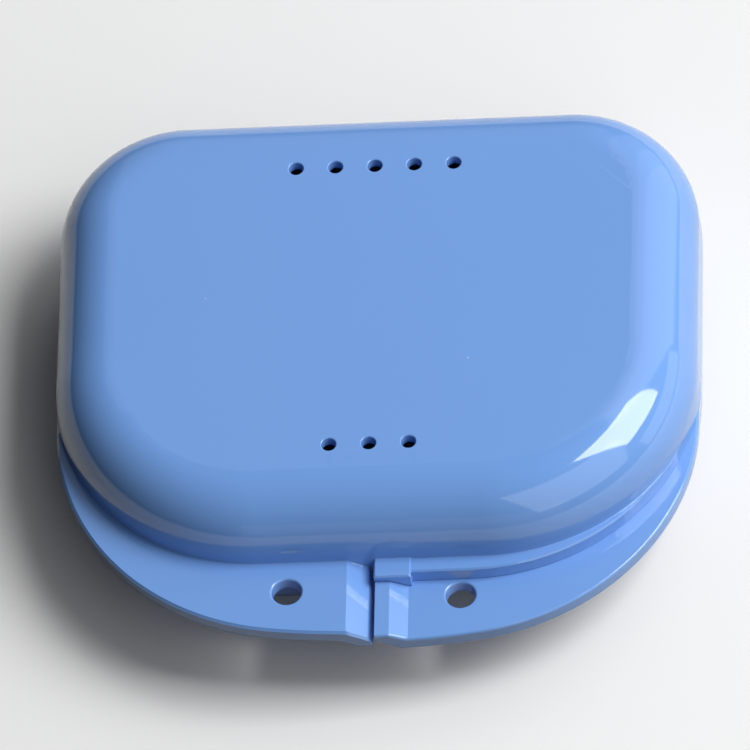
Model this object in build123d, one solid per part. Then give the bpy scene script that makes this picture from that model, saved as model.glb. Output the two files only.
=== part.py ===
from build123d import *
from math import acos, atan2, cos, degrees, hypot, radians, sin, tan
import os

# Case for a dental retainer: two like halves that close mouth to mouth. The upper half is the lower
# one turned half a turn about the front-to-back line, so each carries a wing on one side of the front.
# Millimetres. X runs along the front, -Y faces the wings, +Z is up, and the origin is the middle of
# the footprint, on the table.

# Body of one half
BODY_WIDTH = 81.4
BODY_DEPTH = 64.8
HALF_HEIGHT = 11.0
REAR_CORNER_RADIUS = 16.3
FRONT_CORNER_RADIUS = 26.5
WALL = 1.6
DRAFT_ANGLE = 2.1
TOP_EDGE_RADIUS = 8.0
FLOOR_EDGE_FLATS = 2

# Vent holes through the flat of each half
VENT_RADIUS = 0.92
VENT_SIDES = 12
VENT_PITCH = 5.0
REAR_VENTS = 5
REAR_VENT_Y = 21.7
FRONT_VENTS = 3
FRONT_VENT_Y = -20.7

# Wing: in plan a wide arc in front, a corner arc and a straight side
WING_THICKNESS = 2.1
WING_REACH = 10.8
WING_FRONT_RADIUS = 93.4
WING_CORNER_RADIUS = 31.8
WING_SIDE_SET_IN = 0.26
WING_CHAMFER = 0.3

# Cord hole in the wing
CORD_HOLE_RADIUS = 1.85
CORD_HOLE_X = 10.8
CORD_HOLE_FROM_BODY = 4.25

# Narrow rim on the side without a wing
RIM_REACH = 1.95
RIM_SIDE_SET_IN = 0.12
RIM_CHAMFER = 0.2

# Latch: the tip of the wing steps across the parting plane and faces the tip of the other half.
# X distances are from the middle of the front, heights from the parting plane.
TIP_DROP = 1.2
TIP_DROP_START = 4.3
TIP_DROP_END = 2.0
TIP_SLOPE_START = 3.3
TIP_SHOULDER = 0.6
TIP_SHOULDER_HEIGHT = 0.5
TIP_NOSE_DEPTH = 0.6
TIP_UNDERCUT = 0.15
TIP_GAP = 0.1
TIP_BEND_RADIUS = 0.5
KEEPER_LAND = 0.2
KEEPER_REACH = 2.7
KEEPER_RISE = 0.2
KEEPER_CHAMFER = 0.2
LATCH_CLEARANCE = 0.12

# Snap hinge: on each half one clip and, as far on the other side, one pin between two ears
HINGE_SPACING = 34.0
HINGE_SETBACK = 1.2
PIN_RADIUS = 0.9
PIN_CLEARANCE = 0.08
KNUCKLE_RADIUS = 1.6
SWING_CLEARANCE = 0.2
CLIP_WIDTH = 6.0
CLIP_SIDE_CLEARANCE = 0.2
CLIP_MOUTH = 1.4
CLIP_MOUTH_ANGLE = -45.0
EAR_THICKNESS = 2.0
WEB_HEIGHT = 4.5
WEB_PARTING_GAP = 0.15

# Places worked out from the sizes above
BODY_FRONT = -BODY_DEPTH / 2
BODY_REAR = BODY_DEPTH / 2
WING_FRONT = BODY_FRONT - WING_REACH
BODY_CORNER_END = BODY_FRONT + FRONT_CORNER_RADIUS
HINGE_Y = BODY_REAR + HINGE_SETBACK
EAR_GAP = CLIP_WIDTH + 2 * CLIP_SIDE_CLEARANCE
OVERALL_MIDDLE_Y = (WING_FRONT + HINGE_Y + KNUCKLE_RADIUS) / 2
BEYOND = 2 * BODY_WIDTH
SAME_PLACE = 1e-6


def plan_outline(half_width, front, rear, front_radius, rear_radius):
    """Rectangle with large rounded corners, from front to rear."""
    corners = Polyline((-half_width, front), (half_width, front), (half_width, rear),
                       (-half_width, rear), close=True)
    face = make_face(corners)
    face = fillet(face.vertices().sort_by(Axis.Y)[:2], front_radius)
    return fillet(face.vertices().sort_by(Axis.Y)[-2:], rear_radius)


def body_outline(inset):
    """Plan of the body at its mouth, drawn in by inset all round."""
    return plan_outline(BODY_WIDTH / 2 - inset, BODY_FRONT + inset, BODY_REAR - inset,
                        FRONT_CORNER_RADIUS - inset, REAR_CORNER_RADIUS - inset)


def dome():
    """Outside of the body, with its mouth on the parting plane."""
    body = extrude(body_outline(0), amount=HALF_HEIGHT, taper=DRAFT_ANGLE)
    return fillet(body.faces().sort_by(Axis.Z)[-1].edges(), TOP_EDGE_RADIUS)


def hollow():
    """Inside of the body. Its floor edge follows the dome's radius in a few even flats."""
    radius = TOP_EDGE_RADIUS - WALL
    wall_height = HALF_HEIGHT - WALL - radius
    lean_of_wall = wall_height * tan(radians(DRAFT_ANGLE))
    inside = extrude(body_outline(WALL), amount=wall_height, taper=DRAFT_ANGLE)
    for number in range(FLOOR_EDGE_FLATS):
        start = radians(90 * number / FLOOR_EDGE_FLATS)
        end = radians(90 * (number + 1) / FLOOR_EDGE_FLATS)
        rise = radius * (sin(end) - sin(start))
        lean = degrees(atan2(radius * (cos(start) - cos(end)), rise))
        inset = WALL + lean_of_wall + radius * (1 - cos(start))
        level = Pos(0, 0, wall_height + radius * sin(start)) * body_outline(inset)
        inside += extrude(level, amount=rise, taper=lean)
    return inside


def wing_outline():
    """Plan of the wing on the -X side, closed behind inside the body."""
    disc = Pos(0, WING_FRONT + WING_FRONT_RADIUS) * Circle(WING_FRONT_RADIUS)
    half_width = BODY_WIDTH / 2 - WING_SIDE_SET_IN
    strip = Pos(-half_width, WING_FRONT) * Rectangle(
        half_width, BODY_CORNER_END - WING_FRONT, align=(Align.MIN, Align.MIN))
    face = disc & strip
    corner = face.vertices().group_by(Axis.X)[0].sort_by(Axis.Y)[0]
    return fillet(corner, WING_CORNER_RADIUS)


def along_y(outline, y_low, y_high):
    """Solid of an XZ outline, from y_low to y_high."""
    at_high = Plane(origin=(0, y_high, 0), x_dir=(1, 0, 0), z_dir=(0, -1, 0))
    return extrude(at_high * outline, amount=y_high - y_low)


def hold_out(solid, x_low, x_high, y_low, y_high, z_low, z_high):
    """The solid without the part of it inside a box."""
    box = Box(x_high - x_low, y_high - y_low, z_high - z_low, align=(Align.MIN, Align.MIN, Align.MIN))
    return solid - Pos(x_low, y_low, z_low) * box


def bent(points, bends):
    """Face of the outline through points, with the corners numbered in bends rounded."""
    outline = make_face(Polyline(*points, close=True))
    corners = []
    for number in bends:
        x, y = points[number]
        corners += outline.vertices().filter_by(lambda v: hypot(v.X - x, v.Y - y) < SAME_PLACE)
    return fillet(corners, TIP_BEND_RADIUS)


def wing():
    """Wing with its stepped tip, which passes below the parting plane in front of the other body."""
    far = -BEYOND / 2
    profile = bent([
        (far, 0),
        (-TIP_DROP_START, 0),
        (-TIP_DROP_END, -TIP_DROP),
        (-TIP_GAP / 2 - TIP_UNDERCUT, -TIP_DROP),
        (-TIP_GAP / 2, -TIP_NOSE_DEPTH),
        (-TIP_SHOULDER, TIP_SHOULDER_HEIGHT),
        (-TIP_SLOPE_START, WING_THICKNESS),
        (far, WING_THICKNESS),
    ], bends=(1, 2, 6))
    plate = extrude(Pos(0, 0, -BEYOND / 2) * wing_outline(), amount=BEYOND)
    plate = plate & along_y(profile, -BEYOND / 2, BEYOND / 2)
    top_edges = plate.faces().sort_by(Axis.Z)[-1].edges()
    outer_edges = top_edges.group_by(Axis.X)[0] + top_edges.filter_by(GeomType.CIRCLE)
    plate = chamfer(outer_edges, WING_CHAMFER)
    clear_y = BODY_FRONT - LATCH_CLEARANCE
    return hold_out(plate, -BEYOND, BEYOND, clear_y, BEYOND, -BEYOND, 0)


def keeper():
    """Block that bridges the tip of the other half's wing and seats on the parting plane beyond it."""
    slope = TIP_DROP / (TIP_DROP_START - TIP_DROP_END)
    inner = TIP_GAP / 2
    foot = TIP_DROP_START + LATCH_CLEARANCE / slope
    outer = foot + KEEPER_LAND
    top = WING_THICKNESS + KEEPER_RISE
    profile = bent([
        (inner, TIP_DROP + LATCH_CLEARANCE),
        (TIP_DROP_END, TIP_DROP + LATCH_CLEARANCE),
        (foot, 0),
        (outer, 0),
        (outer, top),
        (inner, top),
    ], bends=(1,))
    block = along_y(profile, BODY_FRONT - KEEPER_REACH, BODY_FRONT + WALL)
    top_face = block.faces().sort_by(Axis.Z)[-1]
    block = chamfer(top_face.edges(), KEEPER_CHAMFER)
    return block, outer


def rim(start_x):
    """Narrow lip above the other half's wing, from start_x to where it runs out at the side."""
    outline = plan_outline(BODY_WIDTH / 2 - RIM_SIDE_SET_IN, BODY_FRONT - RIM_REACH, BODY_REAR,
                           FRONT_CORNER_RADIUS + RIM_REACH, REAR_CORNER_RADIUS)
    lip = extrude(outline, amount=WING_THICKNESS, taper=DRAFT_ANGLE)
    lip = chamfer(lip.faces().sort_by(Axis.Z)[-1].edges(), RIM_CHAMFER)
    lip = hold_out(lip, -BEYOND, start_x, -BEYOND, BEYOND, -BEYOND, BEYOND)
    return hold_out(lip, -BEYOND, BEYOND, BODY_CORNER_END, BEYOND, -BEYOND, BEYOND)


def web_outline():
    """YZ outline of a hinge knuckle and the gusset that joins it to the rear wall."""
    wall_y = BODY_REAR - WALL / 2
    distance = hypot(WEB_HEIGHT, HINGE_Y - wall_y)
    tangent = atan2(WEB_HEIGHT, wall_y - HINGE_Y) - acos(KNUCKLE_RADIUS / distance)
    touch = (HINGE_Y + KNUCKLE_RADIUS * cos(tangent), KNUCKLE_RADIUS * sin(tangent))
    gusset = Polyline((wall_y, WEB_PARTING_GAP), (HINGE_Y, WEB_PARTING_GAP), touch,
                      (wall_y, WEB_HEIGHT), close=True)
    return make_face(gusset) + Pos(HINGE_Y, 0) * Circle(KNUCKLE_RADIUS)


def along_x(outline, x_middle, width):
    """Solid of a YZ outline, width wide about x_middle."""
    side = Plane(origin=(x_middle, 0, 0), x_dir=(0, 1, 0), z_dir=(1, 0, 0))
    return extrude(side * outline, amount=width / 2, both=True)


def clip(x_middle):
    """Open knuckle that snaps over the other half's pin."""
    outline = web_outline()
    mouth = Pos(KNUCKLE_RADIUS, 0) * Rectangle(2 * KNUCKLE_RADIUS, CLIP_MOUTH)
    bore = Circle(PIN_RADIUS + PIN_CLEARANCE)
    outline = outline - Pos(HINGE_Y, 0) * (Rot(0, 0, CLIP_MOUTH_ANGLE) * mouth + bore)
    return along_x(outline, x_middle, CLIP_WIDTH)


def pin_and_ears(x_middle):
    """Pin held at both ends by an ear."""
    ear_offset = (EAR_GAP + EAR_THICKNESS) / 2
    pin = along_x(Pos(HINGE_Y, 0) * Circle(PIN_RADIUS), x_middle, EAR_GAP + EAR_THICKNESS)
    left_ear = along_x(web_outline(), x_middle - ear_offset, EAR_THICKNESS)
    right_ear = along_x(web_outline(), x_middle + ear_offset, EAR_THICKNESS)
    return pin + left_ear + right_ear


def relief(x_middle, width):
    """Round groove in the rear wall that clears the other half's knuckles."""
    outline = Pos(HINGE_Y, 0) * Circle(KNUCKLE_RADIUS + SWING_CLEARANCE)
    return along_x(outline, x_middle, width + 2 * CLIP_SIDE_CLEARANCE)


def vent_places():
    """Middles of the vent holes, one row behind and one in front."""
    places = []
    for count, y in ((REAR_VENTS, REAR_VENT_Y), (FRONT_VENTS, FRONT_VENT_Y)):
        for number in range(count):
            places.append(((number - (count - 1) / 2) * VENT_PITCH, y))
    return places


def pierced(solid, outline, x, y, z_low, z_high):
    """The solid with an upright hole through it between two heights."""
    return solid - Pos(x, y, z_low) * extrude(outline, amount=z_high - z_low)


def case_half():
    """One moulding, as the upper half, with the parting plane at Z 0."""
    block, rim_start = keeper()
    half = dome() + wing() + rim(rim_start) + block
    half = half - relief(-HINGE_SPACING / 2, EAR_GAP + 2 * EAR_THICKNESS)
    half = half - relief(HINGE_SPACING / 2, CLIP_WIDTH)
    half = half + clip(-HINGE_SPACING / 2) + pin_and_ears(HINGE_SPACING / 2)
    half = half - hollow()

    vent = RegularPolygon(VENT_RADIUS, VENT_SIDES)
    for x, y in vent_places():
        half = pierced(half, vent, x, y, HALF_HEIGHT - 2 * WALL, HALF_HEIGHT + WALL)

    cord_hole = (-CORD_HOLE_X, BODY_FRONT - CORD_HOLE_FROM_BODY)
    return pierced(half, Circle(CORD_HOLE_RADIUS), *cord_hole, -WING_THICKNESS, 2 * WING_THICKNESS)


half = case_half()
upper_shell = Pos(0, -OVERALL_MIDDLE_Y, HALF_HEIGHT) * half
lower_shell = Pos(0, -OVERALL_MIDDLE_Y, HALF_HEIGHT) * (Rot(0, 180, 0) * half)
os.makedirs("parts", exist_ok=True)
for name, shell in (("upper_shell", upper_shell), ("lower_shell", lower_shell)):
    print(name, round(shell.volume, 1), "mm3,", len(shell.solids()), "solid,", shell.is_valid)
    export_step(shell, f"parts/{name}.step")
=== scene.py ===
import math

import bmesh
import bpy
from mathutils import Matrix, Vector


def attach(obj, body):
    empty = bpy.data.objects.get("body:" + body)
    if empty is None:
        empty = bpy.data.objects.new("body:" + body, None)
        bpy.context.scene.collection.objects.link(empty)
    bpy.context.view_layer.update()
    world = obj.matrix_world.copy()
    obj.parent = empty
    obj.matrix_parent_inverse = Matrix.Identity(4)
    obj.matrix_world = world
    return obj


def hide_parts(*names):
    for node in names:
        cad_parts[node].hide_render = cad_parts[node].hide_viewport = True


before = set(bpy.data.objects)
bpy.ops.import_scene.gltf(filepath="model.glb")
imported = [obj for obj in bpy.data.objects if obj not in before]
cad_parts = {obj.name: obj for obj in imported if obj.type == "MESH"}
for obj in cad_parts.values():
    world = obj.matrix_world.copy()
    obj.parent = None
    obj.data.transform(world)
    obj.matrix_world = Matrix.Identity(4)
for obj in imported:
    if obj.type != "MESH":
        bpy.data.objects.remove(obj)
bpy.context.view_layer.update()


# Lower moulding: the half of the case that stands on the table, with its wing on the right.
# It is injection moulded in one shot from glossy light-blue polypropylene, so all its edges
# have the small radius that the mould's cutter leaves.

# Sizes in metres. A half's own frame has its mouth on z = 0, its dome upwards, its wing on the
# left and the middle of its body at the origin. A corner, arc or hole is its middle and radius.
HALF_HEIGHT = 0.011
BODY_HALF_WIDTH = 0.0407
BODY_HALF_DEPTH = 0.0324
BODY_MIDDLE = 0.004
FRONT_CORNER_RADIUS = 0.0265
FRONT_CORNER = (Vector((BODY_HALF_WIDTH - FRONT_CORNER_RADIUS, FRONT_CORNER_RADIUS - BODY_HALF_DEPTH, 0)),
                FRONT_CORNER_RADIUS)
REAR_CORNER_RADIUS = 0.0163
REAR_CORNER = (Vector((BODY_HALF_WIDTH - REAR_CORNER_RADIUS, BODY_HALF_DEPTH - REAR_CORNER_RADIUS, 0)),
               REAR_CORNER_RADIUS)
WALL = 0.0016
DRAFT_ANGLE = math.radians(2.1)
LEAN = math.tan(DRAFT_ANGLE)
DOME_ROUND = 0.008
ROUND_HEIGHT = HALF_HEIGHT - DOME_ROUND
ROUND_DRAWN_IN = round(DOME_ROUND / math.cos(DRAFT_ANGLE) + ROUND_HEIGHT * LEAN, 6)

WING_REACH = 0.0108
WING_SIDE_SET_IN = 0.00026
WING_CHAMFER = 0.0003
WING_FRONT_RADIUS = 0.0934
WING_FRONT = Vector((0, WING_FRONT_RADIUS - BODY_HALF_DEPTH - WING_REACH, 0)), WING_FRONT_RADIUS
WING_CORNER_RADIUS = 0.0318
BETWEEN_ARC_MIDDLES = WING_FRONT_RADIUS - WING_CORNER_RADIUS
WING_CORNER_X = WING_CORNER_RADIUS + WING_SIDE_SET_IN - BODY_HALF_WIDTH
WING_CORNER_Y = round(WING_FRONT[0].y - math.sqrt(BETWEEN_ARC_MIDDLES ** 2 - WING_CORNER_X ** 2), 5)
WING_CORNER = Vector((WING_CORNER_X, WING_CORNER_Y, 0)), WING_CORNER_RADIUS
ARCS_MEET_X = WING_CORNER_X * WING_FRONT_RADIUS / BETWEEN_ARC_MIDDLES
WING_ROOT = -0.001
PAST_MIDDLE = 0.001

CORD_HOLE_RADIUS = 0.00185
CORD_HOLE_X = -0.0108
CORD_HOLE_FROM_BODY = 0.00425
CORD_HOLE = Vector((CORD_HOLE_X, -BODY_HALF_DEPTH - CORD_HOLE_FROM_BODY, 0)), CORD_HOLE_RADIUS
VENT_RADIUS = 0.00092
VENT_PITCH = 0.005
REAR_VENTS_Y = 0.0217
FRONT_VENTS_Y = -0.0207
VENTS = ([(Vector((VENT_PITCH * step, REAR_VENTS_Y, 0)), VENT_RADIUS) for step in (-2, -1, 0, 1, 2)]
         + [(Vector((VENT_PITCH * step, FRONT_VENTS_Y, 0)), VENT_RADIUS) for step in (-1, 0, 1)])


def drawn_in(place):
    """How far a place is in from the body's plan outline, and the way straight out there."""
    side = math.copysign(1, place.x)
    if FRONT_CORNER[0].y <= place.y <= REAR_CORNER[0].y:
        return BODY_HALF_WIDTH - abs(place.x), Vector((side, 0, 0))
    middle, radius = FRONT_CORNER if place.y < FRONT_CORNER[0].y else REAR_CORNER
    reach = Vector((side * max(abs(place.x) - middle.x, 0), place.y - middle.y, 0))
    return radius - reach.length, reach.normalized()


# How far off its curve a vertex may be and still be taken for one of that curve. The CAD node's
# inner round is two flats, which lie up to half a millimetre inside the true one.
OUTER_ROUND_SLACK = 0.0001
INNER_ROUND_SLACK = 0.00052
DRAFT_WALL_SLACK = 0.00005
RING_SLACK = 0.00006
ON_CURVE = 0.00002


def true_up(skin):
    """Move the vertices that subdividing left on a chord out to the real curve."""
    for vert in skin.verts:
        depth, outward = drawn_in(vert.co)
        height = vert.co.z
        arm = Vector((ROUND_DRAWN_IN - depth, height - ROUND_HEIGHT))
        for radius, slack in ((DOME_ROUND, OUTER_ROUND_SLACK), (DOME_ROUND - WALL, INNER_ROUND_SLACK)):
            if min(arm) > 0 and abs(arm.length - radius) < slack:
                true_arm = arm.normalized() * radius
                vert.co += outward * (true_arm.x - arm.x)
                vert.co.z += true_arm.y - arm.y
        for wall in (0, WALL):
            off_wall = depth - wall - height * LEAN
            if 0 <= height <= ROUND_HEIGHT and abs(off_wall) < DRAFT_WALL_SLACK:
                vert.co += outward * off_wall
        rings = VENTS if height > HALF_HEIGHT / 2 else [CORD_HOLE]
        on_wing = depth < WING_ROOT and height < ROUND_HEIGHT and vert.co.x < PAST_MIDDLE
        if on_wing and vert.co.y < WING_CORNER_Y:
            middle, radius = WING_CORNER if vert.co.x < ARCS_MEET_X else WING_FRONT
            rings = rings + [(middle, radius), (middle, radius - WING_CHAMFER)]
        for middle, radius in rings:
            spoke = vert.co - middle
            spoke.z = 0
            if abs(spoke.length - radius) < RING_SLACK:
                vert.co += spoke.normalized() * (radius - spoke.length)


def round_normal(place):
    """The normal of the body's outer or inner round at a place on it, or None off both."""
    depth, outward = drawn_in(place)
    arm = Vector((ROUND_DRAWN_IN - depth, place.z - ROUND_HEIGHT))
    normal = (outward * arm.x + Vector((0, 0, arm.y))).normalized()
    if min(arm) > -ON_CURVE and abs(arm.length - DOME_ROUND) < ON_CURVE:
        return normal
    if min(arm) > -ON_CURVE and abs(arm.length - DOME_ROUND + WALL) < ON_CURVE:
        return -normal
    return None


# Angles and lengths that tell a flat, a curve and a sharp edge of the CAD node apart.
WELD = 2e-6
FLAT_ANGLE = math.radians(0.5)
CURVE_ANGLE = math.radians(46)
SHARP_ANGLE = math.radians(50)
SHORTEST_CUT = 0.0004
TIP_BEND = 0.0001


def smoothed(skin):
    """Join the CAD node's loose triangles and make its chords and narrow facets true curves."""
    bmesh.ops.remove_doubles(skin, verts=skin.verts, dist=WELD)
    bmesh.ops.dissolve_limit(skin, angle_limit=FLAT_ANGLE, verts=skin.verts, edges=skin.edges)
    bmesh.ops.collapse(skin, edges=[edge for edge in skin.edges if edge.calc_length() < TIP_BEND])
    curved = {face for edge in skin.edges for face in edge.link_faces
              if FLAT_ANGLE < edge.calc_face_angle(0) < CURVE_ANGLE}
    around = [edge for edge in skin.edges
              if edge.calc_length() > SHORTEST_CUT and not curved.isdisjoint(edge.link_faces)]
    bmesh.ops.subdivide_edges(skin, edges=around, cuts=2, use_grid_fill=True)
    true_up(skin)
    on_round = [face for face in skin.faces
                if None not in [round_normal(vert.co) for vert in face.verts]]
    on_round = bmesh.ops.triangulate(skin, faces=on_round)["faces"]
    within = set(on_round)
    between = [edge for edge in skin.edges if within.issuperset(edge.link_faces)]
    bmesh.ops.beautify_fill(skin, faces=on_round, edges=between, method="ANGLE")


# The mould's edge radii, and the room that a face needs beside an edge before it is rounded. The
# wing's wide radius stops short of the tip's nose.
EDGE_RADIUS = 0.00016
EDGE_ROOM = 0.00034
CORD_HOLE_EDGE_RADIUS = 0.0003
CORD_HOLE_EDGE_ROOM = 0.0004
WING_EDGE_RADIUS = 0.00035
WING_EDGE_END = -0.0005
SIDE_ROOM = 0.6
STRAIGHT_ON = math.radians(145)


def on_ring(edge, ring):
    """Whether an edge runs round a ring in plan."""
    middle, radius = ring
    return all(abs((vert.co - middle).xy.length - radius) < ON_CURVE for vert in edge.verts)


def sharp_edges(skin, *rings):
    """The sharp edges of a skin, or only those that run round one of these rings."""
    return [edge for edge in skin.edges if edge.calc_face_angle(0) > SHARP_ANGLE
            and (not rings or any(on_ring(edge, ring) for ring in rings))]


def has_room(edge, room):
    """Whether the faces beside an edge reach this far from it, and its end edges nearly as far."""
    start, end = (vert.co for vert in edge.verts)
    along = (end - start).normalized()
    for loop in edge.link_loops:
        if max((vert.co - start).cross(along).length for vert in loop.face.verts) < room:
            return False
        for vert, beside in ((loop.vert, loop.link_loop_prev.edge),
                             (loop.link_loop_next.vert, loop.link_loop_next.edge)):
            side = beside.other_vert(vert).co - vert.co
            turn = side.angle(edge.other_vert(vert).co - vert.co)
            if turn < STRAIGHT_ON and side.length * math.sin(turn) < SIDE_ROOM * room:
                return False
    return True


def bevelled(skin, edges, radius, room=0.0):
    """Round these edges, apart from those with no room for it."""
    bmesh.ops.bevel(skin, geom=[edge for edge in edges if has_room(edge, room)], offset=radius,
                    affect="EDGES", segments=3, profile=0.5, clamp_overlap=False,
                    loop_slide=False, material=-1)


def refilled(skin, height):
    """Fill the flat top at this height anew, round its vents."""
    flats = [face for face in skin.faces if all(abs(vert.co.z - height) < WELD for vert in face.verts)]
    normal = Vector(max(flats, key=lambda face: face.calc_area()).normal)
    within = set(flats)
    rims = [edge for edge in skin.edges if sum(face in within for face in edge.link_faces) == 1]
    bmesh.ops.delete(skin, geom=flats, context="FACES_ONLY")
    loose = [edge for edge in skin.edges if not edge.link_faces]
    bmesh.ops.delete(skin, geom=loose, context="EDGES")
    bmesh.ops.triangle_fill(skin, use_beauty=True, use_dissolve=False, normal=normal,
                            edges=[edge for edge in rims if edge.is_valid])


def rounded(skin):
    """Round the sharp edges, the widest radii first, and fill the flats between them anew."""
    bevelled(skin, sharp_edges(skin, CORD_HOLE), CORD_HOLE_EDGE_RADIUS, CORD_HOLE_EDGE_ROOM)
    bevelled(skin, [edge for edge in sharp_edges(skin, WING_CORNER, WING_FRONT)
                    if edge.verts[0].co.z < WELD
                    and max(vert.co.x for vert in edge.verts) < WING_EDGE_END], WING_EDGE_RADIUS)
    bevelled(skin, sharp_edges(skin, *VENTS), EDGE_RADIUS)
    bevelled(skin, sharp_edges(skin), EDGE_RADIUS, EDGE_ROOM)
    for height in (HALF_HEIGHT, HALF_HEIGHT - WALL):
        refilled(skin, height)


# A face under this size takes the normals of the larger faces that it runs into smoothly.
SMALL_FACE = 3e-6
SMOOTH_WITHIN = math.cos(math.radians(35))
NEAR_ENOUGH = 0.8


def shading_normals(skin):
    """Corner normals: exact on the body's rounds, and elsewhere those of the larger faces."""
    skin.normal_update()
    sizes = {face: face.calc_area() for face in skin.faces}
    normals = []
    for face, size in sizes.items():
        flat = Vector(face.normal)
        exact = [round_normal(corner.vert.co) for corner in face.loops]
        for corner, normal in zip(face.loops, exact):
            if normal is None or (None in exact and normal.dot(flat) < NEAR_ENOUGH):
                normal = flat
                if size < SMALL_FACE:
                    normal = Vector((0, 0, 0))
                    for near in corner.vert.link_faces:
                        if near.normal.dot(flat) > SMOOTH_WITHIN:
                            normal = normal + near.normal * sizes[near] ** 2
            normals.append(normal.normalized())
    return normals


def moulded(node, name, to_own):
    """One smooth skin over a CAD node, with true curves and its sharp edges slightly rounded."""
    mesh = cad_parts[node].data.copy()
    mesh.name = name
    skin = bmesh.new()
    skin.from_mesh(mesh)
    bmesh.ops.transform(skin, matrix=to_own, verts=skin.verts)
    smoothed(skin)
    rounded(skin)
    normals = shading_normals(skin)
    to_place = to_own.inverted()
    bmesh.ops.transform(skin, matrix=to_place, verts=skin.verts)
    for face in skin.faces:
        face.smooth = True
    skin.to_mesh(mesh)
    skin.free()
    mesh.normals_split_custom_set([to_place.to_3x3() @ normal for normal in normals])
    mesh.materials.clear()
    piece = bpy.data.objects.new(name, mesh)
    bpy.context.scene.collection.objects.link(piece)
    return piece


def blue_plastic():
    """Glossy moulded polypropylene with a faint ripple, hairline scratches and a few specks."""
    material = bpy.data.materials.new("blue_plastic")
    material.use_nodes = True
    nodes, links = material.node_tree.nodes, material.node_tree.links
    shader = nodes["Principled BSDF"]
    shader.inputs["IOR"].default_value = 1.6
    place = nodes.new("ShaderNodeTexCoord").outputs["Object"]

    def noise(name, scale, detail):
        cloud = nodes.new("ShaderNodeTexNoise")
        cloud.label = name
        cloud.inputs["Scale"].default_value = scale
        cloud.inputs["Detail"].default_value = detail
        links.new(place, cloud.inputs["Vector"])
        return cloud.outputs["Fac"]

    def cells(coordinates, scale, feature):
        voronoi = nodes.new("ShaderNodeTexVoronoi")
        voronoi.feature = feature
        voronoi.inputs["Scale"].default_value = scale
        links.new(coordinates, voronoi.inputs["Vector"])
        return voronoi.outputs

    def from_to(value, low, high, at_low, at_high):
        span = nodes.new("ShaderNodeMapRange")
        span.inputs["From Min"].default_value = low
        span.inputs["From Max"].default_value = high
        span.inputs["To Min"].default_value = at_low
        span.inputs["To Max"].default_value = at_high
        links.new(value, span.inputs["Value"])
        return span.outputs["Result"]

    def combined(operation, first, second):
        maths = nodes.new("ShaderNodeMath")
        maths.operation = operation
        links.new(first, maths.inputs[0])
        if isinstance(second, float):
            maths.inputs[1].default_value = second
        else:
            links.new(second, maths.inputs[1])
        return maths.outputs["Value"]

    dust = cells(place, scale=240.0, feature="F1")
    spot = from_to(dust["Distance"], low=0.02, high=0.05, at_low=1.0, at_high=0.0)
    chance = nodes.new("ShaderNodeSeparateColor")
    links.new(dust["Color"], chance.inputs["Color"])
    specks = combined("MULTIPLY", spot, combined("GREATER_THAN", chance.outputs["Red"], 0.94))

    grain = nodes.new("ShaderNodeMapping")
    grain.inputs["Rotation"].default_value = (0.3, 0.2, 0.5)
    grain.inputs["Scale"].default_value = (20, 150, 90)
    links.new(place, grain.inputs["Vector"])
    streaks = cells(grain.outputs["Vector"], scale=1.0, feature="DISTANCE_TO_EDGE")
    hairline = from_to(streaks["Distance"], low=0.0, high=0.012, at_low=1.0, at_high=0.0)
    rubbed = from_to(noise("rubbed", 45.0, 1.0), low=0.58, high=0.66, at_low=0.0, at_high=1.0)
    scratches = combined("MULTIPLY", hairline, rubbed)

    tint = nodes.new("ShaderNodeMix")
    tint.data_type = "RGBA"
    tint.inputs["A"].default_value = (0.176, 0.358, 0.775, 1)
    tint.inputs["B"].default_value = (0.184, 0.374, 0.800, 1)
    links.new(noise("pigment", 30.0, 1.0), tint.inputs["Factor"])
    dusty = nodes.new("ShaderNodeMix")
    dusty.data_type = "RGBA"
    dusty.inputs["B"].default_value = (0.5, 0.6, 0.8, 1)
    links.new(tint.outputs["Result"], dusty.inputs["A"])
    links.new(combined("MULTIPLY", specks, 0.5), dusty.inputs["Factor"])
    links.new(dusty.outputs["Result"], shader.inputs["Base Color"])

    roughness = from_to(noise("gloss", 55.0, 2.0), low=0.3, high=0.7, at_low=0.045, at_high=0.075)
    roughness = combined("ADD", roughness, combined("MULTIPLY", scratches, 0.10))
    roughness = combined("ADD", roughness, combined("MULTIPLY", specks, 0.35))
    links.new(roughness, shader.inputs["Roughness"])

    ripple = nodes.new("ShaderNodeBump")
    ripple.inputs["Strength"].default_value = 1.0
    ripple.inputs["Distance"].default_value = 0.000012
    links.new(noise("ripple", 90.0, 0.0), ripple.inputs["Height"])
    links.new(ripple.outputs["Normal"], shader.inputs["Normal"])
    return material


plastic = blue_plastic()

mouth_down = Matrix.Translation((0, -BODY_MIDDLE, -HALF_HEIGHT))
lower = moulded("lower_shell", "lower_moulding", Matrix.Rotation(math.pi, 4, "Y") @ mouth_down)
lower.data.materials.append(plastic)
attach(lower, "base")
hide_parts("lower_shell")


# Upper moulding: the lid, which comes out of the same mould and is turned half a turn, so its
# wing is on the left. It is clipped on the lower moulding's hinge pins.
upper = moulded("upper_shell", "upper_moulding", mouth_down)
upper.data.materials.append(plastic)
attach(upper, "lid")
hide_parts("upper_shell")


# Floor: a plain pale studio table, painted matt. Its bounced light is left off the case, which
# only mirrors it, so the case keeps the dark left side of the photograph.
FLOOR_SIZE = 3.0

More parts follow.
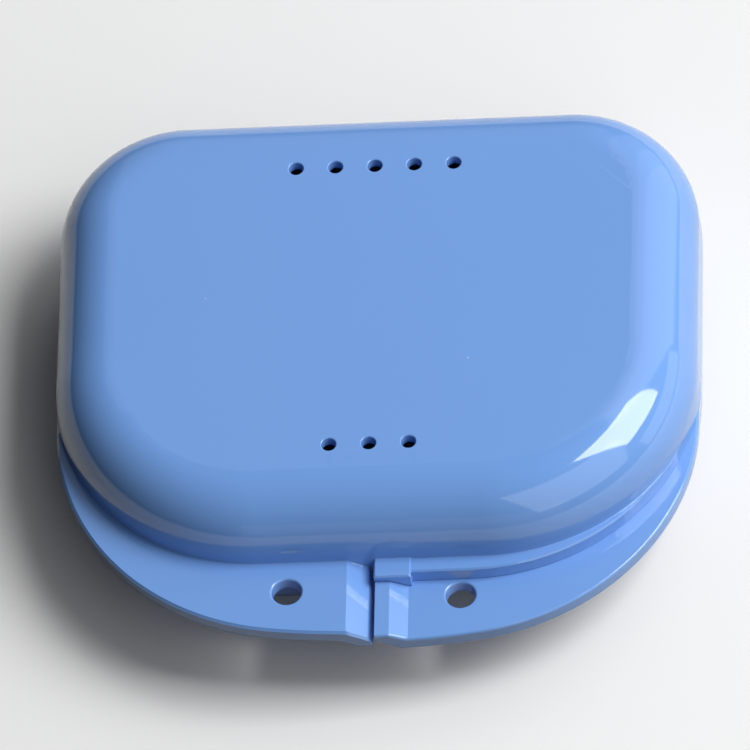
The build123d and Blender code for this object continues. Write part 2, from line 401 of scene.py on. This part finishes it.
floor_mesh = bpy.data.meshes.new("floor")
sheet = bmesh.new()
bmesh.ops.create_grid(sheet, x_segments=1, y_segments=1, size=FLOOR_SIZE / 2)
sheet.to_mesh(floor_mesh)
sheet.free()
floor = bpy.data.objects.new("floor", floor_mesh)
bpy.context.scene.collection.objects.link(floor)
floor_paint = bpy.data.materials.new("floor")
floor_paint.use_nodes = True
paint_shader = floor_paint.node_tree.nodes["Principled BSDF"]
paint_shader.inputs["Base Color"].default_value = (0.9, 0.9, 0.9, 1)
paint_shader.inputs["Roughness"].default_value = 0.6
floor.data.materials.append(floor_paint)
floor.visible_diffuse = False


# Light: a window on the right as the key, with large soft panels on the right and behind and a
# weaker one in front, and nothing on the left, so the left side falls into shade. Three panels
# at the right rear lie over each other, so their reflection fades in along the lid's right edge.
bpy.context.scene.view_settings.view_transform = "Standard"
world = bpy.data.worlds.new("studio")
bpy.context.scene.world = world
world.use_nodes = True
world.node_tree.nodes["Background"].inputs["Color"].default_value = (1, 1, 1, 1)
world.node_tree.nodes["Background"].inputs["Strength"].default_value = 0.02


def soft_panel(name, turn, height, distance, wide, tall, radiance, lean=0):
    """Rectangular light that faces the case; turn and height are its bearing in degrees."""
    light = bpy.data.lights.new(name, "AREA")
    light.shape = "RECTANGLE"
    light.size = wide
    light.size_y = tall
    light.energy = radiance * wide * tall * math.pi
    panel = bpy.data.objects.new(name, light)
    bpy.context.scene.collection.objects.link(panel)
    turn, height = math.radians(turn), math.radians(height)
    toward = Vector((math.cos(height) * math.cos(turn), math.cos(height) * math.sin(turn),
                     math.sin(height)))
    upright = toward.to_track_quat("Z", "Y").to_matrix()
    leaning = upright @ Matrix.Rotation(math.radians(lean), 3, "Z")
    panel.matrix_world = Matrix.Translation(toward * distance) @ leaning.to_4x4()


soft_panel("window", 5.3, 49.6, distance=1.5, wide=0.704, tall=1.017, radiance=9.1, lean=-11.4)
for layer, (turn, wide) in enumerate(((45, 0.5), (50, 0.75), (55.5, 1.0))):
    soft_panel("right_rear_panel_%d" % layer, turn, 35, distance=1.2 + 0.01 * layer, wide=wide,
               tall=1.5, radiance=0.41)
soft_panel("right_low_panel", 10, 12, distance=1.2, wide=0.9, tall=0.4, radiance=1.2)
soft_panel("right_front_panel", -45, 38, distance=1.2, wide=1.1, tall=1.0, radiance=1.2)
soft_panel("front_low_panel", -80, 12, distance=1.2, wide=1.0, tall=0.45, radiance=0.25)
soft_panel("rear_panel", 98, 35, distance=1.2, wide=0.7, tall=1.0, radiance=0.25)


# Camera: a long lens from the front, above and slightly to the right, rolled a little.
# Its place, aim and lens frame the case as the photograph does.
CAMERA_TURN = math.radians(8.89)
CAMERA_HEIGHT = math.radians(55.0)
CAMERA_ROLL = math.radians(-9.5)
CAMERA_DISTANCE = 1.8755
CAMERA_LENS = 719.4
SENSOR_WIDTH = 36
AIM = Vector((0.000638, -0.006478, 0.022))

away = Vector((
    math.sin(CAMERA_TURN) * math.cos(CAMERA_HEIGHT),
    -math.cos(CAMERA_TURN) * math.cos(CAMERA_HEIGHT),
    math.sin(CAMERA_HEIGHT),
))
camera_data = bpy.data.cameras.new("camera")
camera_data.sensor_width = SENSOR_WIDTH
camera_data.lens = CAMERA_LENS
camera = bpy.data.objects.new("camera", camera_data)
bpy.context.scene.collection.objects.link(camera)
upright = away.to_track_quat("Z", "Y").to_matrix()
camera.matrix_world = Matrix.Translation(AIM + away * CAMERA_DISTANCE) @ (
    upright @ Matrix.Rotation(CAMERA_ROLL, 3, "Z")).to_4x4()
bpy.context.scene.camera = camera
